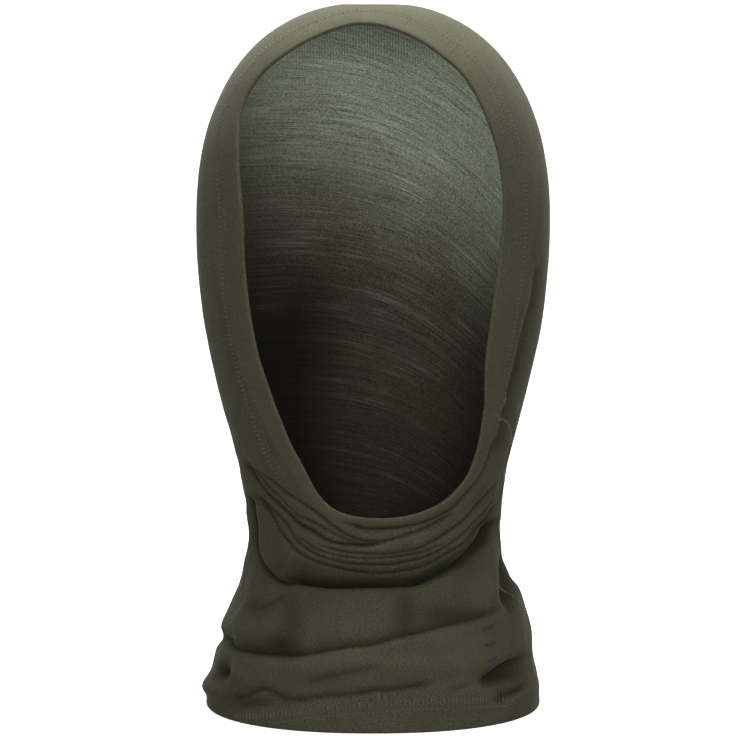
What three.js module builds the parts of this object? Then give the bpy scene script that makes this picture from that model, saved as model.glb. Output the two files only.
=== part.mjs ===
// Knitted neck gaiter, pulled up over the head like a hood. Millimetres, +Z up, face opening towards -Y.
// One fine jersey tube: its lower end is the neck hem, its upper end is the rim of the face opening.
import * as THREE from 'three';

// Driving dimensions.
const HEIGHT = 336;            // lower edge of the neck hem to the crown
const HEAD_WIDTH = 170;        // over the ears
const HEAD_DEPTH = 185;        // forehead line to the back of the head
const HEM_WIDTH = 161;         // neck hem, side to side
const HEM_DEPTH = 152;         // neck hem, front to back
const NECK_WIDTH = 120.8;      // narrowest part, side to side
const NECK_DEPTH = 125;        // narrowest part, front to back
const FACE_WIDTH = 118;        // face opening at half of its height
const FACE_BOTTOM = 97.7;      // lowest point of the face opening
const CROWN_DROP = 8;          // from the crown down to the top of the face opening
const CLOTH = 0.9;             // one layer of jersey with its fuzz
const GAP = 0.3;               // air left between two layers
const HEM = 20;                // depth of both turned hems
const LADDER_INSET = 1.2;      // cut edge of the hem to the ladder row
const LADDER_WIDTH = 4.4;      // upper row of hem stitches
const CHAIN_INSET = 6.2;       // cut edge of the hem to the chain row
const CHAIN_WIDTH = 2;         // lower row of hem stitches
const THREAD = 0.4;            // thread lying on the cloth
const TACK = 0.6;              // extra lump where the seam crosses a hem
const PRINT = 0.15;            // thickness of the tonal print
const LABEL = 0.5;             // thickness of the blank care label
const PLEAT_COUNT = 3;         // gathers under the chin
const PLEAT_DEPTH = 0.7;
const CHIN_BULGE = 3;          // gathered cloth hangs forward under the chin
const CREASES = [[45, 6, 3], [140, 13, 4]];  // cloth position, width and depth of the two big neck creases
const COLUMNS = 60;            // facets round the tube
const BODY_ROWS = 26;          // facet rows between the two hems
const SEAM_COLUMN = 9;         // facet column that holds the side seam, counted from the chin to +X
const LABEL_COLUMNS = [11, 14];
const PRINT_COLUMN = 7;

// Sizes that follow from the ones above. Stitch rows are measured from the folded edge.
const FACE_TOP = HEIGHT - CROWN_DROP;
const LADDER_ROW = [HEM - LADDER_INSET - LADDER_WIDTH, HEM - LADDER_INSET];
const CHAIN_ROW = [HEM - CHAIN_INSET - CHAIN_WIDTH, HEM - CHAIN_INSET];

// Shape of the head and neck, as shares of the driving dimensions.
const TEMPLE = 0.685 * HEIGHT;
const DOME = 2.3;              // roundness of the crown
const SECTION = 2.2;           // roundness of a level section
const NECK_LEVEL = 0.226 * HEIGHT;
const HEAD_CENTRE = 12.5;
const CROWN_CENTRE = 8;
const WIDTHS = [
  [0, HEM_WIDTH / 2], [0.08 * HEIGHT, 0.47 * HEM_WIDTH], [0.137 * HEIGHT, 0.441 * HEM_WIDTH],
  [NECK_LEVEL, NECK_WIDTH / 2], [0.286 * HEIGHT, 0.51 * NECK_WIDTH], [0.342 * HEIGHT, 0.379 * HEAD_WIDTH],
  [0.455 * HEIGHT, 0.438 * HEAD_WIDTH], [0.568 * HEIGHT, 0.484 * HEAD_WIDTH], [TEMPLE, HEAD_WIDTH / 2],
];
const FRONTS = [
  [0, 4 - 0.553 * HEM_DEPTH], [0.06 * HEIGHT, 4 - 0.553 * HEM_DEPTH], [0.134 * HEIGHT, 4 - 0.526 * HEM_DEPTH],
  [NECK_LEVEL, 1 - 0.52 * NECK_DEPTH], [0.291 * HEIGHT, 1 - 0.536 * NECK_DEPTH],
  [0.372 * HEIGHT, HEAD_CENTRE - 0.47 * HEAD_DEPTH], [0.566 * HEIGHT, HEAD_CENTRE - 0.508 * HEAD_DEPTH],
  [TEMPLE, HEAD_CENTRE - HEAD_DEPTH / 2],
];
const BACKS = [
  [0, 4 + 0.447 * HEM_DEPTH], [0.06 * HEIGHT, 4 + 0.44 * HEM_DEPTH], [NECK_LEVEL, 1 + 0.48 * NECK_DEPTH],
  [0.298 * HEIGHT, 1 + 0.5 * NECK_DEPTH], [0.43 * HEIGHT, HEAD_CENTRE + 0.37 * HEAD_DEPTH],
  [0.566 * HEIGHT, HEAD_CENTRE + 0.462 * HEAD_DEPTH], [TEMPLE, HEAD_CENTRE + HEAD_DEPTH / 2],
];
// Face opening: share of its height against its half width (over a half circle) and its sideways lean.
const FACE_FULLNESS = [
  [0, 1.52], [0.05, 1.27], [0.12, 1.09], [0.24, 0.99], [0.34, 0.966], [0.49, 1], [0.61, 1.06],
  [0.74, 1.16], [0.84, 1.29], [0.9, 1.33], [1, 1.49],
];
const FACE_LEAN = [
  [0, 4.2], [0.05, 6.3], [0.1, 7.2], [0.15, 5.8], [0.24, 2.8], [0.34, -0.5], [0.5, -0.8],
  [0.61, 0], [0.74, -2], [0.84, -6.5], [0.92, -6], [1, 1],
];

/** Smooth curve through [x, y] knots; it leaves both ends level unless told to run straight on. */
function through(knots, x, straight = false) {
  const last = knots.length - 1;
  const slope = (i) => {
    if ((i === 0 || i === last) && !straight) return 0;
    const a = knots[Math.max(i - 1, 0)];
    const b = knots[Math.min(i + 1, last)];
    return (b[1] - a[1]) / (b[0] - a[0]);
  };
  let i = 0;
  while (i < last - 1 && x > knots[i + 1][0]) i += 1;
  const h = knots[i + 1][0] - knots[i][0];
  const s = THREE.MathUtils.clamp((x - knots[i][0]) / h, 0, 1);
  const rise = s * s * (3 - 2 * s);
  return knots[i][1] * (1 - rise) + knots[i + 1][1] * rise
    + (s ** 3 - 2 * s ** 2 + s) * h * slope(i) + (s ** 3 - s ** 2) * h * slope(i + 1);
}

const crownShare = (z) => THREE.MathUtils.clamp((z - TEMPLE) / (HEIGHT - TEMPLE), 0, 1);
const dome = (z) => (1 - crownShare(z) ** DOME) ** (1 / DOME);
const middle = (z) => HEAD_CENTRE + (CROWN_CENTRE - HEAD_CENTRE) * crownShare(z);
const halfWidth = (z) => (z > TEMPLE ? HEAD_WIDTH / 2 * dome(z) : through(WIDTHS, z));
const frontY = (z) => (z > TEMPLE ? middle(z) - HEAD_DEPTH / 2 * dome(z) : through(FRONTS, z));
const backY = (z) => (z > TEMPLE ? middle(z) + HEAD_DEPTH / 2 * dome(z) : through(BACKS, z));
const roundOff = (share) => Math.max(1 - Math.min(share, 1) ** SECTION, 0) ** (1 / SECTION);

/** Half width of the worn shape at depth y and height z. */
function envelope(y, z) {
  const centre = (frontY(z) + backY(z)) / 2;
  const reach = Math.max((backY(z) - frontY(z)) / 2, 1e-6);
  return halfWidth(z) * roundOff(Math.abs(y - centre) / reach);
}

/** Points up the nape, over the crown and down to the top of the face opening. */
function backPath() {
  const points = [];
  for (let i = 0; i < 400; i += 1) {
    const z = TEMPLE * i / 400;
    points.push(new THREE.Vector2(backY(z), z));
  }
  for (let i = 0; i <= 400; i += 1) {
    const turn = Math.PI * i / 400;
    const side = Math.cos(turn);
    const z = TEMPLE + (HEIGHT - TEMPLE) * Math.sin(turn) ** (2 / DOME);
    const y = middle(z) + HEAD_DEPTH / 2 * Math.sign(side) * Math.abs(side) ** (2 / DOME);
    if (side > 0 || z >= FACE_TOP) points.push(new THREE.Vector2(y, z));
  }
  return points;
}
const PATH = backPath();
const ARC = [0];
for (let i = 1; i < PATH.length; i += 1) ARC.push(ARC[i - 1] + PATH[i].distanceTo(PATH[i - 1]));
const LENGTH = ARC[ARC.length - 1];
const FRONT_HEIGHTS = [
  [0, 0], [HEM, 19], [0.115 * LENGTH, 0.134 * HEIGHT], [0.25 * LENGTH, 0.187 * HEIGHT],
  [0.34 * LENGTH, NECK_LEVEL - 8], [LENGTH - 2.5 * HEM, FACE_BOTTOM - 14], [LENGTH - HEM, FACE_BOTTOM - 7],
  [LENGTH, FACE_BOTTOM],
];

/** Point on the back path, s millimetres of cloth up from the neck hem. */
function backPoint(s) {
  let i = 1;
  while (i < ARC.length - 1 && ARC[i] < s) i += 1;
  return PATH[i - 1].clone().lerp(PATH[i], (s - ARC[i - 1]) / (ARC[i] - ARC[i - 1]));
}

const share = (u) => (1 - Math.cos(u)) / 2;
const sideOf = (u) => Math.sign(Math.round(Math.sin(u) * 1e9));

/** Rim of the face opening at angle u: 0 at the chin, 180 degrees at the forehead. */
function facePoint(u) {
  const t = share(u);
  const z = FACE_BOTTOM + (FACE_TOP - FACE_BOTTOM) * t;
  const x = through(FACE_LEAN, t) + Math.sin(u) * FACE_WIDTH / 2 * through(FACE_FULLNESS, t);
  const centre = (frontY(z) + backY(z)) / 2;
  const y = centre - (backY(z) - frontY(z)) / 2 * roundOff(Math.abs(x) / halfWidth(z));
  return new THREE.Vector3(x, y, z);
}

/** Ring of cloth at position s, lying straight across from front to back on the head. */
function levelPoint(u, s) {
  const front = through(FRONT_HEIGHTS, s, true);
  const back = backPoint(s);
  const y = THREE.MathUtils.lerp(frontY(front), back.x, share(u));
  const z = THREE.MathUtils.lerp(front, back.y, share(u));
  return new THREE.Vector3(sideOf(u) * envelope(y, z), y, z);
}

const bell = (x, centre, width) => Math.exp(-(((x - centre) / width) ** 2));

/** How far the folds lift the cloth off that ring. */
function fold(u, s) {
  const turn = Math.atan2(Math.sin(u), Math.cos(u));
  const facing = Math.max(Math.cos(turn / 1.6), 0) ** 2;
  const start = 0.36 * LENGTH;
  const end = LENGTH - HEM;
  const along = THREE.MathUtils.clamp((s - start) / (end - start), 0, 1);
  const pleats = PLEAT_DEPTH * Math.sin(2 * Math.PI * PLEAT_COUNT * along);
  const bulge = CHIN_BULGE * THREE.MathUtils.smoothstep(s, 0.33 * LENGTH, LENGTH - 4 * HEM)
    * (1 - THREE.MathUtils.smoothstep(s, LENGTH - 3 * HEM, LENGTH));
  const creases = CREASES.reduce((sum, [at, width, deep]) => sum + deep * bell(s, at, width), 0);
  return (pleats * facing + bulge * facing ** 2 - creases * facing);
}

/** The cloth before the folds. */
function smoothPoint(u, s) {
  const start = 0.3 + 0.46 * THREE.MathUtils.smoothstep(share(u), 0.05, 0.6);
  const blend = THREE.MathUtils.smoothstep(s, start * LENGTH, LENGTH);
  const shift = facePoint(u).sub(levelPoint(u, LENGTH)).multiplyScalar(blend);
  return levelPoint(u, s).add(shift);
}

/** Outward direction of a surface by small differences. */
function normalOf(surface, u, s) {
  const du = 0.02;
  const ds = 0.5;
  const across = surface(u + du, s).sub(surface(u - du, s));
  const up = surface(u, Math.min(s + ds, LENGTH)).sub(surface(u, Math.max(s - ds, 0)));
  return across.cross(up).normalize();
}

/** The cloth with its folds. Both hem edges stay where the smooth cloth has them. */
function clothPoint(u, s) {
  const settle = THREE.MathUtils.smoothstep(s, HEM / 2, 2 * HEM);
  const lift = normalOf(smoothPoint, u, s).multiplyScalar(fold(u, s) * settle);
  return smoothPoint(u, s).add(lift);
}

/** Point at a height above the cloth's outer face (minus is inwards). The neck hem stays flat below. */
function offsetPoint(u, s, lift) {
  const normal = normalOf(clothPoint, u, s);
  if (s < HEM) {
    normal.z *= s / HEM;
    normal.normalize();
  }
  return clothPoint(u, s).add(normal.multiplyScalar(lift));
}

const angle = (column) => 2 * Math.PI * column / COLUMNS;

/** Closed patch of cloth between two heights; it closes on itself when the columns go all the way round. */
function patch(name, colour, columns, rows, low, high) {
  const whole = columns[1] - columns[0] === COLUMNS;
  const across = columns[1] - columns[0] + (whole ? 0 : 1);
  const up = rows.length;
  const positions = [];
  for (const lift of [high, low]) {
    for (let j = 0; j < up; j += 1) {
      for (let i = 0; i < across; i += 1) {
        positions.push(...offsetPoint(angle(columns[0] + i), rows[j], lift).toArray());
      }
    }
  }
  const at = (side, i, j) => side * up * across + j * across + (i % across);
  const indices = [];
  const quad = (a, b, c, d) => indices.push(a, b, c, a, c, d);
  const steps = whole ? across : across - 1;
  for (let i = 0; i < steps; i += 1) {
    for (let j = 0; j < up - 1; j += 1) {
      quad(at(0, i, j), at(0, i + 1, j), at(0, i + 1, j + 1), at(0, i, j + 1));
      quad(at(1, i, j), at(1, i, j + 1), at(1, i + 1, j + 1), at(1, i + 1, j));
    }
    quad(at(0, i, 0), at(1, i, 0), at(1, i + 1, 0), at(0, i + 1, 0));
    quad(at(0, i, up - 1), at(0, i + 1, up - 1), at(1, i + 1, up - 1), at(1, i, up - 1));
  }
  if (!whole) {
    for (let j = 0; j < up - 1; j += 1) {
      quad(at(0, 0, j), at(0, 0, j + 1), at(1, 0, j + 1), at(1, 0, j));
      quad(at(0, steps, j), at(1, steps, j), at(1, steps, j + 1), at(0, steps, j + 1));
    }
  }
  const geometry = new THREE.BufferGeometry();
  geometry.setAttribute('position', new THREE.Float32BufferAttribute(positions, 3));
  geometry.setIndex(indices);
  geometry.computeVertexNormals();
  const mesh = new THREE.Mesh(geometry, new THREE.MeshStandardMaterial({ color: colour, roughness: 0.95 }));
  mesh.name = name;
  return mesh;
}

const HEM_ROWS = [0, HEM * 0.3, ...CHAIN_ROW, ...LADDER_ROW, HEM];
const bodyRow = (k) => HEM + (LENGTH - 2 * HEM) * k / BODY_ROWS;
const ROWS = [...HEM_ROWS];
for (let k = 1; k < BODY_ROWS; k += 1) ROWS.push(bodyRow(k));
ROWS.push(...HEM_ROWS.map((s) => LENGTH - s).reverse());
const rowsBetween = (from, to) => ROWS.filter((s) => s >= from - 1e-6 && s <= to + 1e-6);
const fromFace = (row) => [LENGTH - row[1], LENGTH - row[0]];

const ROUND = [0, COLUMNS];
const SEAM = [SEAM_COLUMN, SEAM_COLUMN + 1];
const INSIDE = -CLOTH - GAP;
const LINING = INSIDE - CLOTH;
const OLIVE = 0x4b4b3c;
const OLIVE_LIGHT = 0x59584a;
const THREAD_BROWN = 0x6b5b45;
const onTop = [GAP, GAP + THREAD];
const underneath = [LINING - GAP - THREAD, LINING - GAP];

const gaiter = new THREE.Group();
gaiter.name = 'neck_gaiter';
const add = (...piece) => gaiter.add(patch(...piece));

add('tube_body', OLIVE, ROUND, ROWS, -CLOTH, 0);
add('neck_hem_turning', OLIVE_LIGHT, ROUND, rowsBetween(0, HEM), LINING, INSIDE);
add('face_hem_turning', OLIVE_LIGHT, ROUND, rowsBetween(LENGTH - HEM, LENGTH), LINING, INSIDE);
add('neck_hem_chain_thread', THREAD_BROWN, ROUND, CHAIN_ROW, ...onTop);
add('neck_hem_ladder_thread', THREAD_BROWN, ROUND, LADDER_ROW, ...onTop);
add('neck_hem_looper_thread', THREAD_BROWN, ROUND, rowsBetween(CHAIN_ROW[0], LADDER_ROW[1]), ...underneath);
add('face_hem_chain_thread', THREAD_BROWN, ROUND, fromFace(CHAIN_ROW), ...onTop);
add('face_hem_ladder_thread', THREAD_BROWN, ROUND, fromFace(LADDER_ROW), ...onTop);
add('face_hem_looper_thread', THREAD_BROWN, ROUND,
  rowsBetween(LENGTH - LADDER_ROW[1], LENGTH - CHAIN_ROW[0]), ...underneath);

// The side seam: a flat overlap on the inside, its stitching outside, and a lump where it meets each hem.
const between = rowsBetween(bodyRow(1), bodyRow(BODY_ROWS - 1));
add('side_seam_overlap', OLIVE_LIGHT, SEAM, between, LINING, INSIDE);
add('side_seam_thread', THREAD_BROWN, SEAM, between, GAP, GAP + THREAD / 2);
const overThread = onTop[1] + GAP;
add('neck_seam_tack', THREAD_BROWN, SEAM, rowsBetween(CHAIN_ROW[0], LADDER_ROW[1]), overThread, overThread + TACK);
add('face_seam_tack', THREAD_BROWN, SEAM, rowsBetween(LENGTH - LADDER_ROW[1], LENGTH - CHAIN_ROW[0]),
  overThread, overThread + TACK);
add('care_label', 0xcfccc2, LABEL_COLUMNS, rowsBetween(bodyRow(1), bodyRow(4)), INSIDE - LABEL, INSIDE);
add('tonal_mark', 0x3b4138, [PRINT_COLUMN, PRINT_COLUMN + 1], rowsBetween(bodyRow(1), bodyRow(3)),
  GAP, GAP + PRINT);

// The origin sits under the middle of the part's box, on the plane of the neck hem.
const box = new THREE.Box3().setFromObject(gaiter);
const middleOfBox = box.getCenter(new THREE.Vector3());
for (const piece of gaiter.children) piece.geometry.translate(-middleOfBox.x, -middleOfBox.y, -box.min.z);

export default gaiter;
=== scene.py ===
# %% [markdown]
# # A knitted neck gaiter, worn as a hood
# A neck gaiter is one tube of fine wool jersey. Here it is pulled up over a head: its lower end is the neck
# hem, its upper end is the rim of the face opening, and the front, which has far less way to go than the
# back, gathers in folds under the chin. This lesson builds the tube row by row, lays the folds into it, sews
# the hems with real thread, and dyes the wool.
#
# The solid model is loaded first. It is the fixed frame that every piece has to sit in.

# %% Load the fixed frame
import math

import bpy
import numpy as np
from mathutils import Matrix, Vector
from mathutils.bvhtree import BVHTree


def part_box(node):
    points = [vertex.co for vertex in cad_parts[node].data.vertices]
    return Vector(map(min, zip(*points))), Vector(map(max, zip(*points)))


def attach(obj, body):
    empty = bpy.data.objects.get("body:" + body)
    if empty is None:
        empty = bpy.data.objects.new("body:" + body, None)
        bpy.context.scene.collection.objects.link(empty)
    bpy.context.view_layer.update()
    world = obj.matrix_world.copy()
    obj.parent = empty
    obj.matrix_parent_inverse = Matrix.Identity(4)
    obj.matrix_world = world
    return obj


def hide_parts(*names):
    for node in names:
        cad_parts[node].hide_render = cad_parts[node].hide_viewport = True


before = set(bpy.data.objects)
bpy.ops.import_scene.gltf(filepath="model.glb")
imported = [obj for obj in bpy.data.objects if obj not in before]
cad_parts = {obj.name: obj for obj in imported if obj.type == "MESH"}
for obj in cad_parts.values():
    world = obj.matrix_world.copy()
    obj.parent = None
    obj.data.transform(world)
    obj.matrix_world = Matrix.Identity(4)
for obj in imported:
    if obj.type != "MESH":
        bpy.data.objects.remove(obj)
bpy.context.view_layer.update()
tube_low, tube_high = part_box("tube_body")
print("tube of the solid model, mm:", [round(1000 * (b - a), 1) for a, b in zip(tube_low, tube_high)])

# %% [markdown]
# ## The head inside
# Nothing is inside the gaiter, yet its shape is that of a head and neck. The same few sizes that drive the
# solid model are repeated here, in millimetres: a width, a front line and a back line at each height, joined
# by rounded level sections, with a dome on top.

# %% Sizes of the head and neck
HEIGHT, HEAD_WIDTH, HEAD_DEPTH = 336.0, 170.0, 185.0
HEM_WIDTH, HEM_DEPTH = 161.0, 152.0
NECK_WIDTH, NECK_DEPTH = 120.8, 125.0
FACE_WIDTH, FACE_BOTTOM, FACE_TOP = 118.0, 97.7, 328.0
HEM = 20.0
TEMPLE = 0.685 * HEIGHT
NECK_LEVEL = 0.226 * HEIGHT
DOME, SECTION = 2.3, 2.2
HEAD_CENTRE, CROWN_CENTRE = 12.5, 8.0
MM = 0.001
SHIFT_Y = tube_high[1] / MM - (HEAD_CENTRE + HEAD_DEPTH / 2)

WIDTHS = [
    (0, HEM_WIDTH / 2), (0.08 * HEIGHT, 0.47 * HEM_WIDTH), (0.137 * HEIGHT, 0.441 * HEM_WIDTH),
    (NECK_LEVEL, NECK_WIDTH / 2), (0.286 * HEIGHT, 0.51 * NECK_WIDTH), (0.342 * HEIGHT, 0.379 * HEAD_WIDTH),
    (0.455 * HEIGHT, 0.438 * HEAD_WIDTH), (0.568 * HEIGHT, 0.484 * HEAD_WIDTH), (TEMPLE, HEAD_WIDTH / 2),
]
FRONTS = [
    (0, 4 - 0.553 * HEM_DEPTH), (0.06 * HEIGHT, 4 - 0.553 * HEM_DEPTH), (0.134 * HEIGHT, 4 - 0.526 * HEM_DEPTH),
    (NECK_LEVEL, 1 - 0.52 * NECK_DEPTH), (0.291 * HEIGHT, 1 - 0.536 * NECK_DEPTH),
    (0.372 * HEIGHT, HEAD_CENTRE - 0.47 * HEAD_DEPTH), (0.566 * HEIGHT, HEAD_CENTRE - 0.508 * HEAD_DEPTH),
    (TEMPLE, HEAD_CENTRE - HEAD_DEPTH / 2),
]
BACKS = [
    (0, 4 + 0.447 * HEM_DEPTH), (0.06 * HEIGHT, 4 + 0.44 * HEM_DEPTH), (NECK_LEVEL, 1 + 0.48 * NECK_DEPTH),
    (0.298 * HEIGHT, 1 + 0.5 * NECK_DEPTH), (0.43 * HEIGHT, HEAD_CENTRE + 0.37 * HEAD_DEPTH),
    (0.566 * HEIGHT, HEAD_CENTRE + 0.462 * HEAD_DEPTH), (TEMPLE, HEAD_CENTRE + HEAD_DEPTH / 2),
]


def through(knots, x, straight=False):
    """Smooth curve through (x, y) knots, level at both ends unless told to run straight on."""
    kx, ky = np.array(knots, float).T
    x = np.asarray(x, float)
    slope = np.zeros(len(kx))
    slope[1:-1] = (ky[2:] - ky[:-2]) / (kx[2:] - kx[:-2])
    if straight:
        slope[0] = (ky[1] - ky[0]) / (kx[1] - kx[0])
        slope[-1] = (ky[-1] - ky[-2]) / (kx[-1] - kx[-2])
    i = np.clip(np.searchsorted(kx, x) - 1, 0, len(kx) - 2)
    h = kx[i + 1] - kx[i]
    s = np.clip((x - kx[i]) / h, 0, 1)
    rise = s * s * (3 - 2 * s)
    bend = (s**3 - 2 * s**2 + s) * h * slope[i] + (s**3 - s**2) * h * slope[i + 1]
    return ky[i] * (1 - rise) + ky[i + 1] * rise + bend


def ease(x, low, high):
    """0 below low, 1 above high, smooth between."""
    t = np.clip((np.asarray(x, float) - low) / (high - low), 0, 1)
    return t * t * (3 - 2 * t)


def crown_share(z):
    return np.clip((z - TEMPLE) / (HEIGHT - TEMPLE), 0, 1)


def dome(z):
    return np.maximum(1 - crown_share(z) ** DOME, 0) ** (1 / DOME)


def middle(z):
    return HEAD_CENTRE + (CROWN_CENTRE - HEAD_CENTRE) * crown_share(z)


def half_width(z):
    return np.where(z > TEMPLE, HEAD_WIDTH / 2 * dome(z), through(WIDTHS, z))


def front_y(z):
    return np.where(z > TEMPLE, middle(z) - HEAD_DEPTH / 2 * dome(z), through(FRONTS, z))


def back_y(z):
    return np.where(z > TEMPLE, middle(z) + HEAD_DEPTH / 2 * dome(z), through(BACKS, z))


def section_at(z):
    """Middle and half depth of the head's level section at height z."""
    return (front_y(z) + back_y(z)) / 2, (back_y(z) - front_y(z)) / 2


def round_off(share):
    return np.maximum(1 - np.minimum(share, 1) ** SECTION, 0) ** (1 / SECTION)


def envelope(y, z):
    """Half width of the head at depth y and height z."""
    centre, reach = section_at(z)
    return half_width(z) * round_off(np.abs(y - centre) / np.maximum(reach, 1e-6))


print("crown at", HEIGHT, "mm, ears", HEAD_WIDTH, "mm apart")

# %% [markdown]
# ## Rings of cloth
# A tube is a stack of rings. Each ring is named by two heights: where it crosses the front and how far up the
# nape and over the crown it crosses the back. Low rings lie level. Higher ones tip forward, because the back
# has the whole head to climb while the front stops at the chin.

# %% The line up the nape and over the crown
def back_line():
    z = np.linspace(0, TEMPLE, 400, endpoint=False)
    turn = np.linspace(0, math.pi, 800)
    over_z = TEMPLE + (HEIGHT - TEMPLE) * np.sin(turn).clip(0, 1) ** (2 / DOME)
    side = np.cos(turn)
    over_y = middle(over_z) + HEAD_DEPTH / 2 * np.sign(side) * np.abs(side) ** (2 / DOME)
    keep = (side > 0) | (over_z >= FACE_TOP)
    return np.concatenate([np.c_[back_y(z), z], np.c_[over_y, over_z][keep]])


BACK_LINE = back_line()
BACK_ARC = np.r_[0, np.cumsum(np.linalg.norm(np.diff(BACK_LINE, axis=0), axis=1))]
LENGTH = BACK_ARC[-1]
FRONT_HEIGHTS = [
    (0, 0), (HEM, 19), (0.115 * LENGTH, 0.134 * HEIGHT), (0.25 * LENGTH, 0.187 * HEIGHT),
    (0.34 * LENGTH, NECK_LEVEL - 8), (LENGTH - 2.5 * HEM, FACE_BOTTOM - 14), (LENGTH - HEM, FACE_BOTTOM - 7),
    (LENGTH, FACE_BOTTOM),
]
print("cloth from neck hem over the crown to the rim:", round(LENGTH), "mm")


def level_ring(u, front, back):
    """Ring that crosses the front at height `front` and the back `back` mm up the back line."""
    t = (1 - np.cos(u)) / 2
    end_y = np.interp(back, BACK_ARC, BACK_LINE[:, 0])
    end_z = np.interp(back, BACK_ARC, BACK_LINE[:, 1])
    y = front_y(front) * (1 - t) + end_y * t
    z = front * (1 - t) + end_z * t
    side = np.sign(np.round(np.sin(u), 9))
    return np.stack([side * envelope(y, z), y, z], -1)


# %% [markdown]
# ## The rim of the face opening
# The rim is the one line of this object that everybody looks at. It lies on the head, so its depth follows
# from its width: only the outline seen from the front has to be drawn. It leans a little to the wearer's left
# below and to the right above, as cloth does that was pulled into place by hand. Both curves run from chin to
# brow.

# %% Rim of the face opening
FACE_FULLNESS = [
    (0, 1.52), (0.05, 1.27), (0.12, 1.09), (0.24, 0.99), (0.34, 0.966), (0.49, 1), (0.61, 1.06),
    (0.74, 1.17), (0.815, 1.25), (0.86, 1.29), (0.905, 1.305), (0.945, 1.25), (0.97, 1.2), (1, 1.08),
]
FACE_LEAN = [
    (0, 4.2), (0.05, 6.3), (0.1, 7.2), (0.15, 5.8), (0.24, 2.8), (0.34, -0.5), (0.5, -0.8),
    (0.61, 0), (0.74, -2.4), (0.82, -5.1), (0.92, -5.2), (1, -4),
]
RIM_SAG = 1.3  # at the brow the rim hangs this much below the solid model's


def rim(u):
    t = (1 - np.cos(u)) / 2
    z = FACE_BOTTOM + (FACE_TOP - RIM_SAG - FACE_BOTTOM) * t
    x = through(FACE_LEAN, t) + np.sin(u) * FACE_WIDTH / 2 * through(FACE_FULLNESS, t)
    centre, reach = section_at(z)
    return np.stack([x, centre - reach * round_off(np.abs(x) / half_width(z)), z], -1)


def onto_head(p):
    """Push points sideways, at their own height, until they lie on the head."""
    x, y, z = np.moveaxis(p, -1, 0)
    centre, reach = section_at(z)
    value = (np.abs(x) / half_width(z)) ** SECTION + (np.abs(y - centre) / np.maximum(reach, 1e-6)) ** SECTION
    grow = np.maximum(value, 1e-6) ** (-1 / SECTION)
    return np.stack([x * grow, centre + (y - centre) * grow, z], -1)


def smooth_cloth(u, front, back):
    """The cloth before its folds, for the ring (front, back) in mm of cloth above the neck hem."""
    t = (1 - np.cos(u)) / 2
    level = level_ring(u, through(FRONT_HEIGHTS, front, True), back)
    top = level_ring(u, np.full_like(front, FACE_BOTTOM), np.full_like(back, LENGTH))
    here = front * (1 - t) + back * t
    start = (0.3 + 0.46 * ease(t, 0.05, 0.6)) * LENGTH
    pulled = level + (rim(u) - top) * ease((here - start) / (LENGTH - start), 0, 1)[..., None]
    return onto_head(pulled)


def unit(v):
    return v / np.maximum(np.linalg.norm(v, axis=-1, keepdims=True), 1e-9)


def slopes(u, front, back):
    """Outward direction and cloth direction (from the neck hem towards the rim) by small differences."""
    low, high = np.maximum(front - 0.4, 0), np.minimum(front + 0.4, LENGTH)
    low_b, high_b = np.maximum(back - 0.4, 0), np.minimum(back + 0.4, LENGTH)
    up = unit(smooth_cloth(u, high, high_b) - smooth_cloth(u, low, low_b))
    across = smooth_cloth(u + 0.01, front, back) - smooth_cloth(u - 0.01, front, back)
    return unit(np.cross(across, up)), up


def framed(u, front, back):
    """Place, way out and way up of the smooth cloth."""
    return smooth_cloth(u, front, back), *slopes(u, front, back)


sample = np.linspace(0, 2 * math.pi, 8, endpoint=False)
check = smooth_cloth(sample, np.full(8, LENGTH), np.full(8, LENGTH)) - rim(sample)
print("the last ring meets the rim within", np.abs(check).max().round(4), "mm")

# %% [markdown]
# ## Where the folds lie
# Cloth folds are drawn best the way a sketch is: as lines seen from the front. Every line below is a list of
# points, millimetres to the wearer's left and millimetres up, on an upright plane seen by an eye in front of
# the object. A line is a valley. Light comes from above, so a valley reads as a fold when its upper side
# slopes gently inwards and its lower side comes out sharply: each line has its own width above and below.

# %% The front view that the fold lines are drawn on
EYE_DISTANCE, EYE_RISE = 1600.0, math.radians(6)
LOOK_AT = np.array([0.0, -12.0, 159.0])
EYE = LOOK_AT + EYE_DISTANCE * np.array([0.0, -math.cos(EYE_RISE), math.sin(EYE_RISE)])
VIEW_UP = np.array([0.0, math.sin(EYE_RISE), math.cos(EYE_RISE)])
VIEW_IN = np.array([0.0, math.cos(EYE_RISE), -math.sin(EYE_RISE)])
SHIFT = np.array([0.0, SHIFT_Y, 0.0])
DRAWING_MIDDLE = 173.28


def drawn(p):
    """Place of a point in the front drawing, mm."""
    ray = p + SHIFT - EYE
    depth = ray @ VIEW_IN
    return ray[..., 0] / depth * EYE_DISTANCE, DRAWING_MIDDLE + (ray @ VIEW_UP) / depth * EYE_DISTANCE


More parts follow.
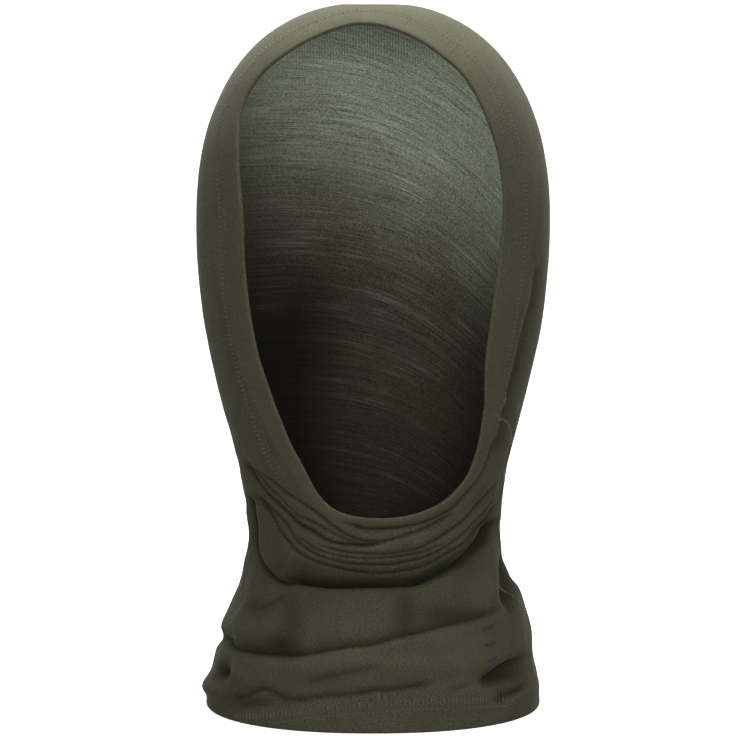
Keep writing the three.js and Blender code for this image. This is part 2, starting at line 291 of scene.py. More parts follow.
# (depth, width above, width below, points from the left of the drawing to the right)
GATHERS = [
    (1.7, 1.1, 0.8, [
        (-15.5, 102.5), (-11, 101), (-5, 99), (2.5, 98.5), (10.5, 99), (18, 100), (25, 101.5), (32.5, 104.5),
        (39.5, 108.5), (45, 114), (50.5, 120.5), (55, 127.5), (58, 136.5), (60.5, 145)]),
    (1.2, 1.2, 0.8, [
        (-58, 128.5), (-51.5, 122), (-46.5, 118), (-39.5, 113.5), (-33.5, 109.5), (-27.5, 106), (-22, 102),
        (-16.5, 98.5), (-11, 95.5), (-3.5, 93), (2.5, 93), (9, 94), (15.5, 96), (22.5, 98), (29, 100.5),
        (35, 103.5), (41, 107)]),
    (1.0, 1.1, 0.7, [
        (-63, 135.5), (-59, 128), (-55, 122.5), (-51, 117.5), (-46, 113), (-41, 108.5), (-37, 105),
        (-31, 102.5), (-25.5, 100), (-19.5, 97), (-15, 95), (-10, 93), (-3.5, 92)]),
    (1.9, 1.5, 0.8, [
        (-63.5, 133), (-60, 126), (-55.5, 118.5), (-51.5, 113.5), (-46, 108.5), (-40.5, 104), (-35, 100),
        (-29, 97.5), (-24.5, 95), (-18.5, 92.5), (-12.5, 91.5), (-5, 91), (1.5, 91.5), (6.5, 93)]),
    (1.4, 1.2, 0.8, [
        (-26.5, 92.5), (-20.5, 90), (-15, 88.5), (-8, 87.5), (-0.5, 87), (7.5, 87), (14, 88), (20.5, 89.5),
        (26.5, 92), (32.5, 95), (38, 98.5), (44.5, 103), (50, 109), (55.5, 115), (60, 122.5)]),
    (1.1, 1.1, 0.7, [
        (-37, 96), (-31, 92), (-25.5, 89), (-18, 86.5), (-10, 85), (-1.5, 84.5), (7.5, 85), (15, 86),
        (22.5, 87.5), (29.5, 90), (35.5, 93)]),
    (1.3, 1.2, 0.8, [
        (-59, 117.5), (-53, 110.5), (-48.5, 106), (-43.5, 101.5), (-39.5, 97), (-36, 92.5), (-31, 89),
        (-25.5, 86), (-18, 83.5), (-10, 82), (-0.5, 81.5), (8.5, 81.5), (16, 83), (22.5, 84.5), (29.5, 87),
        (35.5, 90.5), (41.5, 94.5), (46.5, 98.5), (51.5, 103.5), (56, 109.5), (59.5, 115)]),
    (1.3, 1.3, 0.8, [
        (-60.5, 116.5), (-56, 112), (-52, 107), (-48.5, 102), (-44.5, 96.5), (-40, 92), (-35.5, 87.5),
        (-29.5, 84), (-23, 81.5), (-15, 79.5), (-6, 78), (2.5, 77.5), (10, 78), (17, 79), (23.5, 80.5),
        (30.5, 83.5), (37, 87.5), (43.5, 91), (49, 96), (54, 101.5), (57.5, 107.5), (60.5, 113)]),
    (2.6, 1.5, 1.3, [
        (-61.5, 117), (-59.8, 111), (-58.3, 104), (-57.3, 97), (-56.3, 90), (-55, 84), (-52.3, 79), (-48, 75),
        (-42, 72.7), (-35, 72)]),
    (4.0, 4.6, 0.9, [
        (-45, 75.5), (-37, 73), (-30, 72), (-21.5, 71), (-11, 71), (1, 71), (12, 71.5), (20, 72),
        (25.5, 73.5), (32.5, 76.5), (39, 79.5), (45, 83.5), (50.5, 88), (55, 93.5), (57.5, 99), (60, 105.5)]),
]
NECK_FOLDS = [
    (0.9, 1.0, 1.8, [(-60.5, 57.5), (-54, 60.5), (-48.5, 63.5), (-43.5, 66.5), (-39.5, 69)]),
    (3.0, 3.4, 1.2, [
        (-76, 49), (-72.5, 45.5), (-70, 42), (-65, 40), (-58, 39), (-50.5, 38), (-43, 37.5), (-36, 37.5),
        (-28.5, 38.5)]),
    (1.9, 3.2, 0.9, [
        (-36, 37.5), (-28.5, 38.5), (-20.5, 40), (-11, 41.5), (-1.5, 42.5), (6.5, 44.5), (13, 46.5),
        (20.5, 48), (28.5, 50), (36, 52), (44, 54), (51.5, 56), (57.5, 58), (62.5, 60)]),
    (0.9, 2.2, 2.2, [(-37, 23.5), (-29, 25.5), (-20.5, 27.5), (-12, 29.5), (-3.5, 31), (5.5, 33.5)]),
    (1.7, 2.0, 0.8, [
        (-72.5, 17.5), (-64.5, 17.5), (-59.5, 19), (-55, 21), (-50.5, 20.5), (-46, 18), (-41.5, 16),
        (-36, 16), (-27.5, 17), (-18, 18), (-8.5, 19), (1, 20.5), (10.5, 21), (19, 22.5), (26.5, 23.5),
        (32.5, 24.5)]),
    (0.6, 0.9, 0.9, [(-72.5, 15), (-63.5, 13.5), (-55, 13.5), (-47.5, 14.5)]),
    (0.7, 1.0, 1.0, [(32.5, 20.5), (39.5, 21.5), (45.5, 23), (51.5, 24)]),
    (4.0, 1.0, 4.2, [(49.5, 24), (54.5, 27), (58.5, 30), (63.5, 33.5), (68.5, 36.5), (74.5, 39.5)]),
    (2.6, 1.8, 1.0, [(60.5, 16), (64.5, 18), (69, 20), (73, 23), (76, 27)]),
    (1.6, 2.4, 1.2, [(-76, 31), (-72.5, 30), (-69, 29), (-66, 27)]),
]
# Round hollows and swellings: (mm, middle across, half width, middle up, half height).
HOLLOWS = [
    (1.3, -40, 6, 54, 13), (1.5, 16, 5, 57, 12), (2.6, -47, 7, 43, 4), (4.5, -72, 3.6, 29, 4.5),
    (6.0, 64.5, 2.6, 67, 8), (3.5, 62, 2.6, 17, 2.6), (2.5, 64, 9, 28, 4), (1.6, -58, 12, 15, 3),
    (0.8, -35, 16, 79, 5), (0.8, 38, 14, 83, 5), (4.0, -74, 4, 47, 3), (1.2, -58, 5, 61, 4),
    (2.0, 36, 12, 57, 4.5),
]
SWELLS = [
    (4.4, 0, 46, 89, 12), (3.0, 71, 13, 54, 14), (-2.6, -68, 14, 71, 13), (5.5, -77, 8, 21, 6),
    (4.2, 69.5, 5, 72, 9), (1.6, 65, 4, 80, 5), (1.6, 76, 8, 21, 6), (2.4, -64.5, 4.5, 28, 5),
    (2.0, 56, 4, 80, 22), (1.2, -52, 4, 67, 6), (1.5, 0, 60, 32, 5),
]
# These two run downwards: the first width is the side towards the wearer's left.
UPRIGHT_FOLDS = [
    (4.0, 5.0, 1.2, [(60, 95), (61.5, 85.5), (62, 76.5), (62, 68), (63, 60)]),
    (1.5, 2.5, 2.0, [
        (80, 229), (79.3, 222.7), (77.4, 208.3), (74.5, 198.7), (71.6, 186.7), (68.3, 172.3), (64.9, 160.3),
        (62, 145.9), (59.6, 131.5)]),
]
# Soft folds of the back, drawn on the unrolled cloth: mm round from the nape, mm of height.
NAPE_FOLDS = [
    (2.4, 5.0, 2.5, [(-95, 62), (-60, 52), (-25, 46), (10, 47), (45, 54), (90, 66)]),
    (2.0, 4.5, 2.2, [(-90, 92), (-55, 80), (-20, 74), (20, 75), (60, 84), (95, 98)]),
    (1.2, 3.5, 2.0, [(-40, 66), (-10, 62), (30, 64)]),
    (1.5, 4.0, 2.4, [(-80, 118), (-45, 104), (-5, 99), (35, 103), (75, 117)]),
    (0.9, 3.0, 2.0, [(10, 38), (40, 36), (75, 41)]),
    (0.9, 3.0, 2.0, [(-85, 34), (-55, 30), (-25, 31)]),
]


def resampled(points, step=0.6):
    """Smooth line through points, as (place, direction, length so far)."""
    p = np.array(points, float)
    chord = np.r_[0, np.cumsum(np.linalg.norm(np.diff(p, axis=0), axis=1))]
    at = np.arange(0, chord[-1], step)
    line = np.stack([through(np.c_[chord, p[:, k]], at, True) for k in (0, 1)], -1)
    return line, unit(np.gradient(line, axis=0)), at


def valley(x, h, fold, power=1.25, taper=9.0, narrow=1.0):
    """Depth in mm of one fold at the drawing places (x, h)."""
    depth, above, below, points = fold
    line, way, at = resampled(points)
    reach = 4 * max(above, below)
    low, high = line.min(0) - reach, line.max(0) + reach
    near = np.nonzero((x > low[0]) & (x < high[0]) & (h > low[1]) & (h < high[1]))[0]
    out = np.zeros_like(x)
    for part in np.array_split(near, len(near) // 4000 + 1):
        d = np.stack([x[part], h[part]], -1)[:, None] - line[None]
        i = (d * d).sum(-1).argmin(1)
        d = d[np.arange(len(part)), i]
        side = way[i, 0] * d[:, 1] - way[i, 1] * d[:, 0]
        away = np.linalg.norm(d, axis=1) / np.where(side > 0, above, below) / narrow
        ends = ease(at[i], 0, taper) * ease(at[-1] - at[i], 0, taper)
        out[part] = depth * ends * np.exp(-away**power)
    return out


print(len(GATHERS), "gathers under the chin,", len(NECK_FOLDS), "folds round the neck")

# %% [markdown]
# On top of the drawn folds come the big soft forms: the pile of gathers stands forward under the chin, the
# cloth sags a little over the collar, and nothing in it is perfectly even. The front's folds fade out round
# the sides, where the nape's begin. How deep a point lies in them is kept too, for painted shade: the colour
# is darkened between two pleats and in a broad patch under the chin.

# %% Soft waves, and helpers for the lift
rng = np.random.default_rng(4)
WAVES = [(rng.uniform(-1, 1, 2) / size, rng.uniform(0, 6.28), 0.006 * size)
         for size in (9, 12, 15, 18, 22, 26, 34, 45) for _ in range(2)]
SEAM_PATH = [(0, 74), (20, 75), (45, 77), (62, 80), (80, 76), (110, 64), (150, 57), (336, 57)]
SEAM_RIDGE, RIM_GROOVE, GROOVE_PLACE = 0.5, 0.7, 4.0
NECK_STRENGTH = 1.5
NAPE_RADIUS, WAVE_RADIUS = 62, 70


def bell(x, centre, width):
    return np.exp(-(((x - centre) / width) ** 2))


def turned(u):
    """The same angle, counted from the front: up to half a turn, plus on the wearer's left."""
    return np.arctan2(np.sin(u), np.cos(u))


def up_to(turn, low, high):
    """1 in front, fading to 0 between two angles in degrees on either side."""
    return 1 - ease(np.abs(turn), math.radians(low), math.radians(high))


def seam_turn(z):
    """Angle of the side seam at a height: the gathers have dragged it backwards in the neck."""
    return np.radians(through(SEAM_PATH, z))


print(len(WAVES), "soft waves")

# %% Lift of the cloth off the head, and depth in the folds
def front_folds(x, h, strength, power, narrow, neck_narrow):
    """Depth in mm of all valleys and hollows at the drawing places (x, h)."""
    out = np.zeros_like(x)
    for fold in GATHERS:
        out += strength * valley(x, h, fold, power, narrow=narrow)
    for fold in NECK_FOLDS + UPRIGHT_FOLDS:
        out += NECK_STRENGTH * valley(x, h, fold, narrow=neck_narrow)
    for deep, px, wide, ph, high in HOLLOWS:
        out += deep * bell(x, px, wide) * bell(h, ph, high)
    return out


def lift(u, p):
    """How far the folds push the cloth out (plus) or in (minus) at angle u and place p."""
    flat, turn = p.reshape(-1, 3), turned(u).ravel()
    x, h = drawn(flat)
    z = flat[:, 2]
    facing, beside = up_to(turn, 84, 110), up_to(turn, 105, 140)
    out = -front_folds(x, h, 2.3, 1.1, 0.85, 1.0) * facing
    for height_out, px, wide, ph, high in SWELLS:
        out += height_out * bell(x, px, wide) * bell(h, ph, high) * beside
    round_nape = np.sign(turn) * (math.pi - np.abs(turn)) * NAPE_RADIUS
    back = np.zeros(len(flat))
    for fold in NAPE_FOLDS:
        back -= valley(-round_nape, z, fold, 1.5, 25)
    out += back * (1 - facing)
    calm = ease(z, 4, 40) * (1 - 0.85 * ease(z, 95, 170))
    for way, phase, size in WAVES:
        out += size * np.sin(2 * math.pi * (turn * WAVE_RADIUS * way[0] + z * way[1]) + phase) * calm
    out += SEAM_RIDGE * bell(seam_turn(z) - turn, 0, 0.022) * ease(z, 4, 12)
    from_rim = np.linalg.norm(flat - rim(u).reshape(-1, 3), axis=-1)
    at_sides = bell(np.abs(turn - math.radians(110)), 0, math.radians(55))
    out -= RIM_GROOVE * bell(from_rim, GROOVE_PLACE, 0.9) * at_sides
    return out.reshape(u.shape)


def shade(u, p):
    """How deep in the folds a point lies, like the lift but stronger and narrower, with a broad patch under the
    chin added: it sets how much shade is painted into the colour.
    """
    x, h = drawn(p.reshape(-1, 3))
    # Painted shadow: a broad patch under the chin and a band along the throat.
    painted_chin_shadow = 0.6 * bell(x, 2, 46) * bell(h, 63, 12) + 0.6 * bell(x, 0, 44) * bell(h, 79, 4)
    deep = painted_chin_shadow + front_folds(x, h, 3.8, 1.3, 0.5, 0.8)
    return (deep * up_to(turned(u).ravel(), 84, 110)).reshape(u.shape)


low_front = smooth_cloth(np.zeros(1), np.full(1, 60.0), np.full(1, 60.0))
print("folds lift the cloth of the low front by", lift(np.zeros(1), low_front).round(2), "mm")

# %% [markdown]
# ## Knitting the tube
# The real tube is knitted in the round on a circular machine and cut to length, then each end is turned under
# once and stitched. Here it is one grid of quads, dense where the folds are: the rings come from the cut edge
# inside the neck hem, round its fold, up the outside to the rim, round the rim's fold, and back down inside.
# The columns sit closer together in front. Solidify then gives the sheet its thickness.

# %% Rings and columns
CLOTH, GAP, THICK = 0.9, 0.3, 0.8
COLUMNS, TURN_RINGS = 228, 5
LAYER, LINING = -CLOTH / 2, -CLOTH * 1.5 - GAP
FOLD_RADIUS = (LAYER - LINING) / 2
FOLD_ROOM = FOLD_RADIUS + THICK / 2 + 0.02

table = np.linspace(0, LENGTH, 3000)
table_z = through(FRONT_HEIGHTS, table, True)


def cloth_at(front_z):
    """Cloth position of a height on the front."""
    return np.interp(front_z, table_z, table)


def steps(low, high, count):
    return np.linspace(low, high, count, endpoint=False)


# Bands of rings, by height on the front and by mm of cloth up the back: hem, neck, pile of gathers, fan above.
PILE_FRONT, FAN_FRONT, PILE_BACK, FAN_BACK = 68, 94, 143, 175
hem_part = steps(FOLD_ROOM, HEM, 12)
fan_z = np.linspace(FAN_FRONT, FACE_BOTTOM - FOLD_ROOM * 0.3, 54)
fan_b = FAN_BACK + (LENGTH - FOLD_ROOM - FAN_BACK) * np.linspace(0, 1, 54) ** 0.9
outer = np.concatenate([
    np.c_[hem_part, hem_part],
    np.c_[cloth_at(steps(19, PILE_FRONT, 56)), steps(HEM, PILE_BACK, 56)],
    np.c_[cloth_at(steps(PILE_FRONT, FAN_FRONT, 62)), steps(PILE_BACK, FAN_BACK, 62)],
    np.c_[cloth_at(fan_z), fan_b],
])
turn_in = np.linspace(FOLD_ROOM, HEM - 0.6, 7)
column = np.linspace(0, 2 * math.pi, COLUMNS, endpoint=False)
U = column - 0.35 * np.sin(column)
print(len(outer), "rings outside,", COLUMNS, "columns")

# %% The layers of cloth and their folded edges
def layer(ring_list):
    """Places on the smooth head, ways out, ways up and the lift, for a list of rings."""
    u = np.broadcast_to(U, (len(ring_list), COLUMNS))
    front = np.broadcast_to(ring_list[:, :1], u.shape)
    back = np.broadcast_to(ring_list[:, 1:], u.shape)
    p, out, up = framed(u, front, back)
    low = ease(np.minimum(front, back), 0, HEM)[..., None]
    out = unit(out * np.array([1, 1, 0]) * (1 - low) + out * low)
    raised = lift(u, p) * ease(np.minimum(front, back), 3, 14)
    return p, out, up, raised


def set_off(parts, inset):
    """The layer's points, `inset` mm off the folded surface."""
    p, out, _, raised = parts
    return p + out * (raised + inset)[..., None]


def round_fold(parts, edge, way):
    """Half circle of cloth from the outer layer to the turning; way = -1 down, +1 up."""
    p, out, up, raised = (a[edge] for a in parts)
    turn = np.linspace(0, math.pi, TURN_RINGS + 2)[1:-1, None, None]
    middle_line = p + out * (raised + LAYER - FOLD_RADIUS)[..., None]
    return middle_line + out * np.cos(turn) * FOLD_RADIUS + way * up * np.sin(turn) * FOLD_RADIUS


outside = layer(outer)
stack = np.concatenate([
    set_off(layer(np.c_[turn_in, turn_in]), LINING)[::-1],
    round_fold(outside, 0, -1)[::-1],
    set_off(outside, LAYER),
    round_fold(outside, -1, 1),
    set_off(layer(np.c_[LENGTH - turn_in, LENGTH - turn_in]), LINING),
])
stack += SHIFT
stack[..., 2] = np.maximum(stack[..., 2], THICK / 2 + 0.01)
print("cloth grid", stack.shape[0], "x", stack.shape[1], "heights", stack[..., 2].min().round(2), "to",
      stack[..., 2].max().round(1))

# %% Make the tube's mesh
def linked(name, data):
    made = bpy.data.objects.new(name, data)
    bpy.context.collection.objects.link(made)
    return made


def mesh_piece(name, points, faces):
    """A smooth object from points in mm."""
    data = bpy.data.meshes.new(name)
    data.from_pydata((np.reshape(points, (-1, 3)) * MM).tolist(), [], faces)
    data.update()
    for face in data.polygons:
        face.use_smooth = True
    return linked(name, data)


rows = len(stack)
index = np.arange(rows * COLUMNS).reshape(rows, COLUMNS)
right = np.roll(index, -1, axis=1)
quads = np.stack([index[:-1], right[:-1], right[1:], index[1:]], -1).reshape(-1, 4)
tube = mesh_piece("tube", stack, quads.tolist())
mesh = tube.data

MEAN_RADIUS = 0.072
steps_up = np.linalg.norm(np.diff(stack, axis=0), axis=-1).mean(1)
height_of = np.r_[0, np.cumsum(steps_up)]
corner_row = np.stack([index[:-1], index[:-1], index[1:], index[1:]], -1).reshape(-1) // COLUMNS
unrolled = np.stack([index[:-1], index[:-1] + 1, index[1:] + 1, index[1:]], -1).reshape(-1)
turns = np.r_[U, 2 * math.pi][unrolled - corner_row * COLUMNS]
uv = mesh.uv_layers.new(name="grain")
uv.data.foreach_set("uv", np.stack([turns * MEAN_RADIUS, height_of[corner_row] * MM], -1).ravel())

# Painted shade: the wool's colour is darkened by how deep a point lies in the folds.
DARKENING = 2.2  # mm of depth in the folds that take about two thirds of the light
depth_of = np.zeros(stack.shape[:2])
first = len(turn_in) + TURN_RINGS
RIM_V = height_of[first + len(outer) - 1]
depth_of[first:first + len(outer)] = shade(np.broadcast_to(U, (len(outer), COLUMNS)), outside[0])
hollow = mesh.attributes.new(name="hollow", type="FLOAT", domain="POINT")
hollow.data.foreach_set("value", (1 - np.exp(-np.maximum(depth_of, 0) / DARKENING)).ravel().astype(np.float32))
print("deepest fold", depth_of.max().round(1), "mm, rim", RIM_V.round(1), "mm along the cloth")

thicken = tube.modifiers.new("thickness", "SOLIDIFY")
thicken.thickness = THICK * MM
thicken.offset = 0
thicken.material_offset = 1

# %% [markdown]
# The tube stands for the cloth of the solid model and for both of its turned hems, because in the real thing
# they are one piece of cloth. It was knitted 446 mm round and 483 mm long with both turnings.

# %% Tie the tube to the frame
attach(tube, "root")
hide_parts("tube_body", "neck_hem_turning", "face_hem_turning")

# %% [markdown]
# ## Sewing thread
# A hem on stretch jersey is sewn with a coverstitch: bars across the cut edge with a row of small stitches
# below them, and loops inside. Each bar is the same little length of thread, so one is modelled, a
# six-sided cylinder with its ends pushed down into the cloth, and then it is copied along the hem. Every copy
# is laid on the cloth point by point, so that the row follows the folds.

# %% Model one stitch
def deselect():
    if bpy.context.object and bpy.context.object.mode != "OBJECT":
        bpy.ops.object.mode_set(mode="OBJECT")
    bpy.ops.object.select_all(action="DESELECT")


def taken(made):
    """Points and faces of an object that was only made to be copied, and is removed."""
    points = np.array([v.co for v in made.data.vertices])
    faces = [list(f.vertices) for f in made.data.polygons]
    bpy.data.objects.remove(made)
    return points, faces


def one_stitch(name, length, radius, dip):
    """A thread along Y in mm, with both ends dipping by `dip`: its points and faces."""
    deselect()
    bpy.ops.mesh.primitive_cylinder_add(vertices=6, radius=radius, depth=length, rotation=(math.pi / 2, 0, 0))
    made = bpy.context.object
    made.name = name
    bpy.ops.object.transform_apply(location=True, rotation=True, scale=True)
    bpy.ops.object.mode_set(mode="EDIT")
    for cut in (-0.4, -0.2, 0.2, 0.4):
        bpy.ops.mesh.select_all(action="SELECT")
        bpy.ops.mesh.bisect(plane_co=(0, cut * length, 0), plane_no=(0, 1, 0))
    bpy.ops.object.mode_set(mode="OBJECT")
    points, faces = taken(made)
    reach = np.abs(points[:, 1]) / (length / 2)
    points[:, 2] = points[:, 2] * (1 - 0.5 * reach**4) - dip * reach**3
    points[:, 0] *= 1 - 0.5 * reach**4
    return points, faces


bar, bar_faces = one_stitch("ladder_bar", 4.4, 0.26, 0.5)
dash, dash_faces = one_stitch("chain_dash", 1.7, 0.24, 0.4)
inner_bar = (bar * [1, 1.3, 1], bar_faces)
sideways_dash = (dash[:, [1, 0, 2]] * np.array([1, -1, 1]), dash_faces)
print("one bar has", len(bar_faces), "faces, one dash", len(dash_faces))

# %% Lay copies on the cloth
bpy.context.view_layer.update()
skin = BVHTree.FromObject(tube, bpy.context.evaluated_depsgraph_get())


def on_cloth(points, probe):
    """Nearest cloth to points + probe, with the way out of the cloth there (mm)."""
    flat = (points + probe).reshape(-1, 3)
    hits = [skin.find_nearest(Vector(q * MM))[:2] for q in flat]
    place = np.array([h[0] for h in hits]) / MM
    way = np.array([h[1] for h in hits])
    return place.reshape(points.shape), way.reshape(points.shape)


def laid(name, node, pattern, centres, across, outwards, probe, gap=0.05, sizes=None):
    """One mesh of many copies of pattern = (points, faces), Y along `across`, in place of a solid node."""
    points, faces = pattern
    n = len(centres)
    along = unit(np.cross(across, outwards))
    points = points[None] * (np.ones(n) if sizes is None else sizes)[:, None, None]
    spots = centres[:, None] + along[:, None] * points[..., :1] + across[:, None] * points[..., 1:2]
    place, way = on_cloth(spots, probe * outwards[:, None])
    way = np.sign(probe) * outwards[:, None] * 0.6 + way * 0.4
    final = place + unit(way) * (points[..., 2:] + gap)
    each = [[i + k * points.shape[1] for i in f] for k in range(n) for f in faces]
    made = mesh_piece(name, final, each)
    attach(made, "root")
    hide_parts(node)
    return made


def evenly(path, pitch, closed=True):
    """Fractional places along a path of points, `pitch` mm apart."""
    ring_path = np.concatenate([path, path[:1]]) if closed else path
    far = np.r_[0, np.cumsum(np.linalg.norm(np.diff(ring_path, axis=0), axis=1))]
    count = max(int(round(far[-1] / pitch)), 2)
    at = np.linspace(0, far[-1], count, endpoint=not closed)
    return np.interp(at, far, np.arange(len(far)))


def picked(values, at):
    """Values of a closed list at fractional places."""
    n = len(values)
    low = np.floor(at).astype(int)
    share = (at - low)[:, None]
    return values[low % n] * (1 - share) + values[(low + 1) % n] * share


print("the thread is laid on a skin of", len(tube.data.polygons), "faces")

# %% [markdown]
# The neck hem has rolled under, most of all on the wearer's right, so its rows dip there and go out of sight.
# A deep fold on the wearer's left swallows them once more.

# %% Sew the neck hem
DENSE = steps(0, 2 * math.pi, 720)
STEP = DENSE[1] - DENSE[0]
LADDER_ROW, CHAIN_ROW, LOOPER_ROW = 16.6, 12.8, 15.6  # mm from the fold of the hem
OUTER_PROBE, INNER_PROBE = 3.0, -4.0
HEM_ROLL = [
    (-180, 0), (-130, 3), (-90, 14), (-62, 14.5), (-48, 13.5), (-35, 10.8), (-20, 6.2), (0, 2.2), (15, 1.2),
    (30, 2.6), (47, 3.8), (60, 3.2), (80, 0.8), (110, 0), (180, 0),
]


def rolled_under(u):
    """How much of the neck hem has rolled out of sight below, mm."""
    return through(HEM_ROLL, np.degrees(turned(u)))


def neck_row(s):
    """Places, ways out and ways up for a row s mm above the neck hem's fold."""
    u = DENSE[None]
    there = np.maximum(s - rolled_under(u), 0.5)
    p, out, up = framed(u, there, there)
    raised = lift(u, p) * ease(there, 3, 14)
    return (p + out * raised[..., None])[0] + SHIFT, out[0], up[0]


def in_sight(s):
    """Chooses the angles at which a row s mm above the fold hasn't rolled under."""
    return lambda u: (s - rolled_under(u) > 2.4) & ((np.degrees(u) < 48.5) | (np.degrees(u) > 72))


def sewn(name, node, row, pattern, pitch, probe, keep=None, gap=0.05, lean=0.0):
    """Copies of a stitch along a row, `pitch` mm apart, each turned a little by chance."""
    places, outs, ups = row
    at = evenly(places, pitch)
    if keep is not None:
        at = at[keep(at * STEP)]
    out = unit(picked(outs, at))
    up = unit(picked(ups, at))
    turn = rng.normal(0, 0.05, len(at))[:, None] + lean
    up = unit(up + np.cross(out, up) * turn)
    return laid(name, node, pattern, picked(places, at), up, out, probe, gap)


neck_ladder = sewn("neck_ladder_stitches", "neck_hem_ladder_thread", neck_row(LADDER_ROW), (bar, bar_faces),
                   2.1, OUTER_PROBE, in_sight(16.2))
neck_chain = sewn("neck_chain_stitches", "neck_hem_chain_thread", neck_row(CHAIN_ROW), sideways_dash,
                  2.1, OUTER_PROBE, in_sight(CHAIN_ROW))
neck_looper = sewn("neck_looper_stitches", "neck_hem_looper_thread", neck_row(LOOPER_ROW), inner_bar,
                   2.1, INNER_PROBE, None, 0.1, 0.5)
print("bars round the neck hem:", len(neck_ladder.data.vertices) // len(bar))

# %% [markdown]
# The rim's hem is sewn the same way, 12 to 19 mm in from its fold. Its row is found by walking out from the
# rim over the head, square to the rim, in small steps that are each put back on the head. Under the chin the
# hem has rolled inwards and the thread is out of sight, so the rows stop where the roll begins.

# %% Sew the rim
WALK_STEPS = 12


def head_gap(p):
    """How far outside the head a point is, as a share of the head's size."""
    x, y, z = np.moveaxis(p, -1, 0)
    z = np.minimum(z, HEIGHT - 0.05)
    centre, reach = section_at(z)
    value = (np.abs(x) / half_width(z)) ** SECTION + (np.abs(y - centre) / reach) ** SECTION
    return value ** (1 / SECTION) - 1


def head_way(p):
    """The slope of the gap, which points straight out of the head."""
    step = np.eye(3) * 0.2
    return np.stack([head_gap(p + d) - head_gap(p - d) for d in step], -1) / 0.4


def rim_row(distance):
    """Places `distance` mm out from the rim, ways out and ways back towards the rim."""
    p = rim(DENSE)
    along = unit(rim(DENSE + 0.01) - rim(DENSE - 0.01))
    for _ in range(WALK_STEPS):
        p = p - unit(np.cross(unit(head_way(p)), along)) * distance / WALK_STEPS
        way = head_way(p)
        p = p - way * (head_gap(p) / (way * way).sum(-1))[..., None]
    way = unit(head_way(p))
    inwards = unit(np.cross(way, along))
    raised = lift(DENSE, p)
    return p + way * raised[..., None] + SHIFT, way, inwards


def not_rolled(u):
    """Chooses the angles at which the rim's hem lies flat."""
    degrees = np.degrees(turned(u))
    return (degrees < -32) | (degrees > 56)


thin_bar = (bar * [0.9, 0.95, 0.85], bar_faces)
thin_dash = (sideways_dash[0] * [1, 0.75, 0.75], dash_faces)
face_ladder = sewn("rim_ladder_stitches", "face_hem_ladder_thread", rim_row(LADDER_ROW), thin_bar,
                   2.2, OUTER_PROBE, not_rolled)
face_chain = sewn("rim_chain_stitches", "face_hem_chain_thread", rim_row(CHAIN_ROW), thin_dash,
                  2.2, OUTER_PROBE, not_rolled)
face_looper = sewn("rim_looper_stitches", "face_hem_looper_thread", rim_row(LOOPER_ROW), inner_bar,
                   2.2, INNER_PROBE, not_rolled, 0.1, 0.5)
print("bars round the rim:", len(face_ladder.data.vertices) // len(bar))

# %% [markdown]
# ## Side seam, tacks, label and mark
# One flat seam runs up the side. Outside it shows as a low ridge with a thin zigzag of thread. Inside lies
# the overlap. Where it crosses a hem the machine has piled up thread in a little brown knot. The care label
# hangs inside next to the seam, blank here, and outside the cloth has a small tonal mark of three plain bars.

# %% Side seam
SEAM_ANGLE, SEAM_RADIUS = math.radians(57), 68
OVERLAP = 2.6  # half the width of the overlap inside, mm


def seam_place(s, sideways=0.0):
    """Places on the seam at cloth positions s (front and back alike), shifted sideways by mm."""
    u = np.full_like(s, SEAM_ANGLE)
    for _ in range(6):
        p = smooth_cloth(u, s, s)
        u = seam_turn(p[..., 2])
    u = u + sideways / SEAM_RADIUS
    p, out, up = framed(u, s, s)
    raised = lift(u, p) * ease(s, 3, 14)
    return p + out * raised[..., None] + SHIFT, out, up


seam_s = np.arange(HEM + 2, LENGTH - HEM - 2, 1.15)
places, outs, ups = seam_place(seam_s)
zigzag = np.where(np.arange(len(seam_s)) % 2 == 0, 1, -1)[:, None]
lean = unit(ups + np.cross(outs, ups) * zigzag * 0.9)
gathered = 1 + 1.1 * bell(places[:, 2], 62, 7)
seam_thread = laid("side_seam_stitches", "side_seam_thread", (bar * [0.6, 0.45, 0.6], bar_faces), places, lean,
                   outs, OUTER_PROBE, 0.03, gathered)

strip_s = np.linspace(HEM + 4, LENGTH - HEM - 4, 150)
sides = np.linspace(-OVERLAP, OVERLAP, 5)
lines = [seam_place(strip_s, side) for side in sides]
inner = [on_cloth(line[0], INNER_PROBE * line[1])[0] - line[1] * (0.5 + 0.25 * (1 - abs(side) / OVERLAP))
         for line, side in zip(lines, sides)]


def strip(name, grid, thickness):
    """A thin open sheet from a grid of points (rows of the same length), thickened on both sides."""
    grid = np.asarray(grid)
    n, m = grid.shape[:2]
    number = np.arange(n * m).reshape(n, m)
    four = np.stack([number[:-1, :-1], number[1:, :-1], number[1:, 1:], number[:-1, 1:]], -1).reshape(-1, 4)
    made = mesh_piece(name, grid, four.tolist())
    thick = made.modifiers.new("thickness", "SOLIDIFY")
    thick.thickness, thick.offset = thickness * MM, 0
    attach(made, "root")
    return made


seam_strip = strip("side_seam_overlap_cloth", inner, 0.5)
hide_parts("side_seam_overlap")
seam_length = np.linalg.norm(np.diff(places, axis=0), axis=1).sum()
print("side seam", round(seam_length), "mm long,", len(seam_s), "stitches")

# %% Tacks where the seam crosses the hems
def knot(name, node, row, turn, pitch, count):
    """A short pile of bars across the seam."""
    places, outs, ups = row
    middle_at = turn / STEP
    step = pitch / np.linalg.norm(places[int(middle_at)] - places[int(middle_at) + 1])
    at = middle_at + (np.arange(count) - (count - 1) / 2) * step + rng.normal(0, 0.15, count)
    out, up = unit(picked(outs, at)), unit(picked(ups, at))
    up = unit(up + np.cross(out, up) * rng.normal(0, 0.35, count)[:, None])
    thick_bar = (bar * [1.25, 1.05, 1.4], bar_faces)
    return laid(name, node, thick_bar, picked(places, at), up, out, OUTER_PROBE, 0.35)


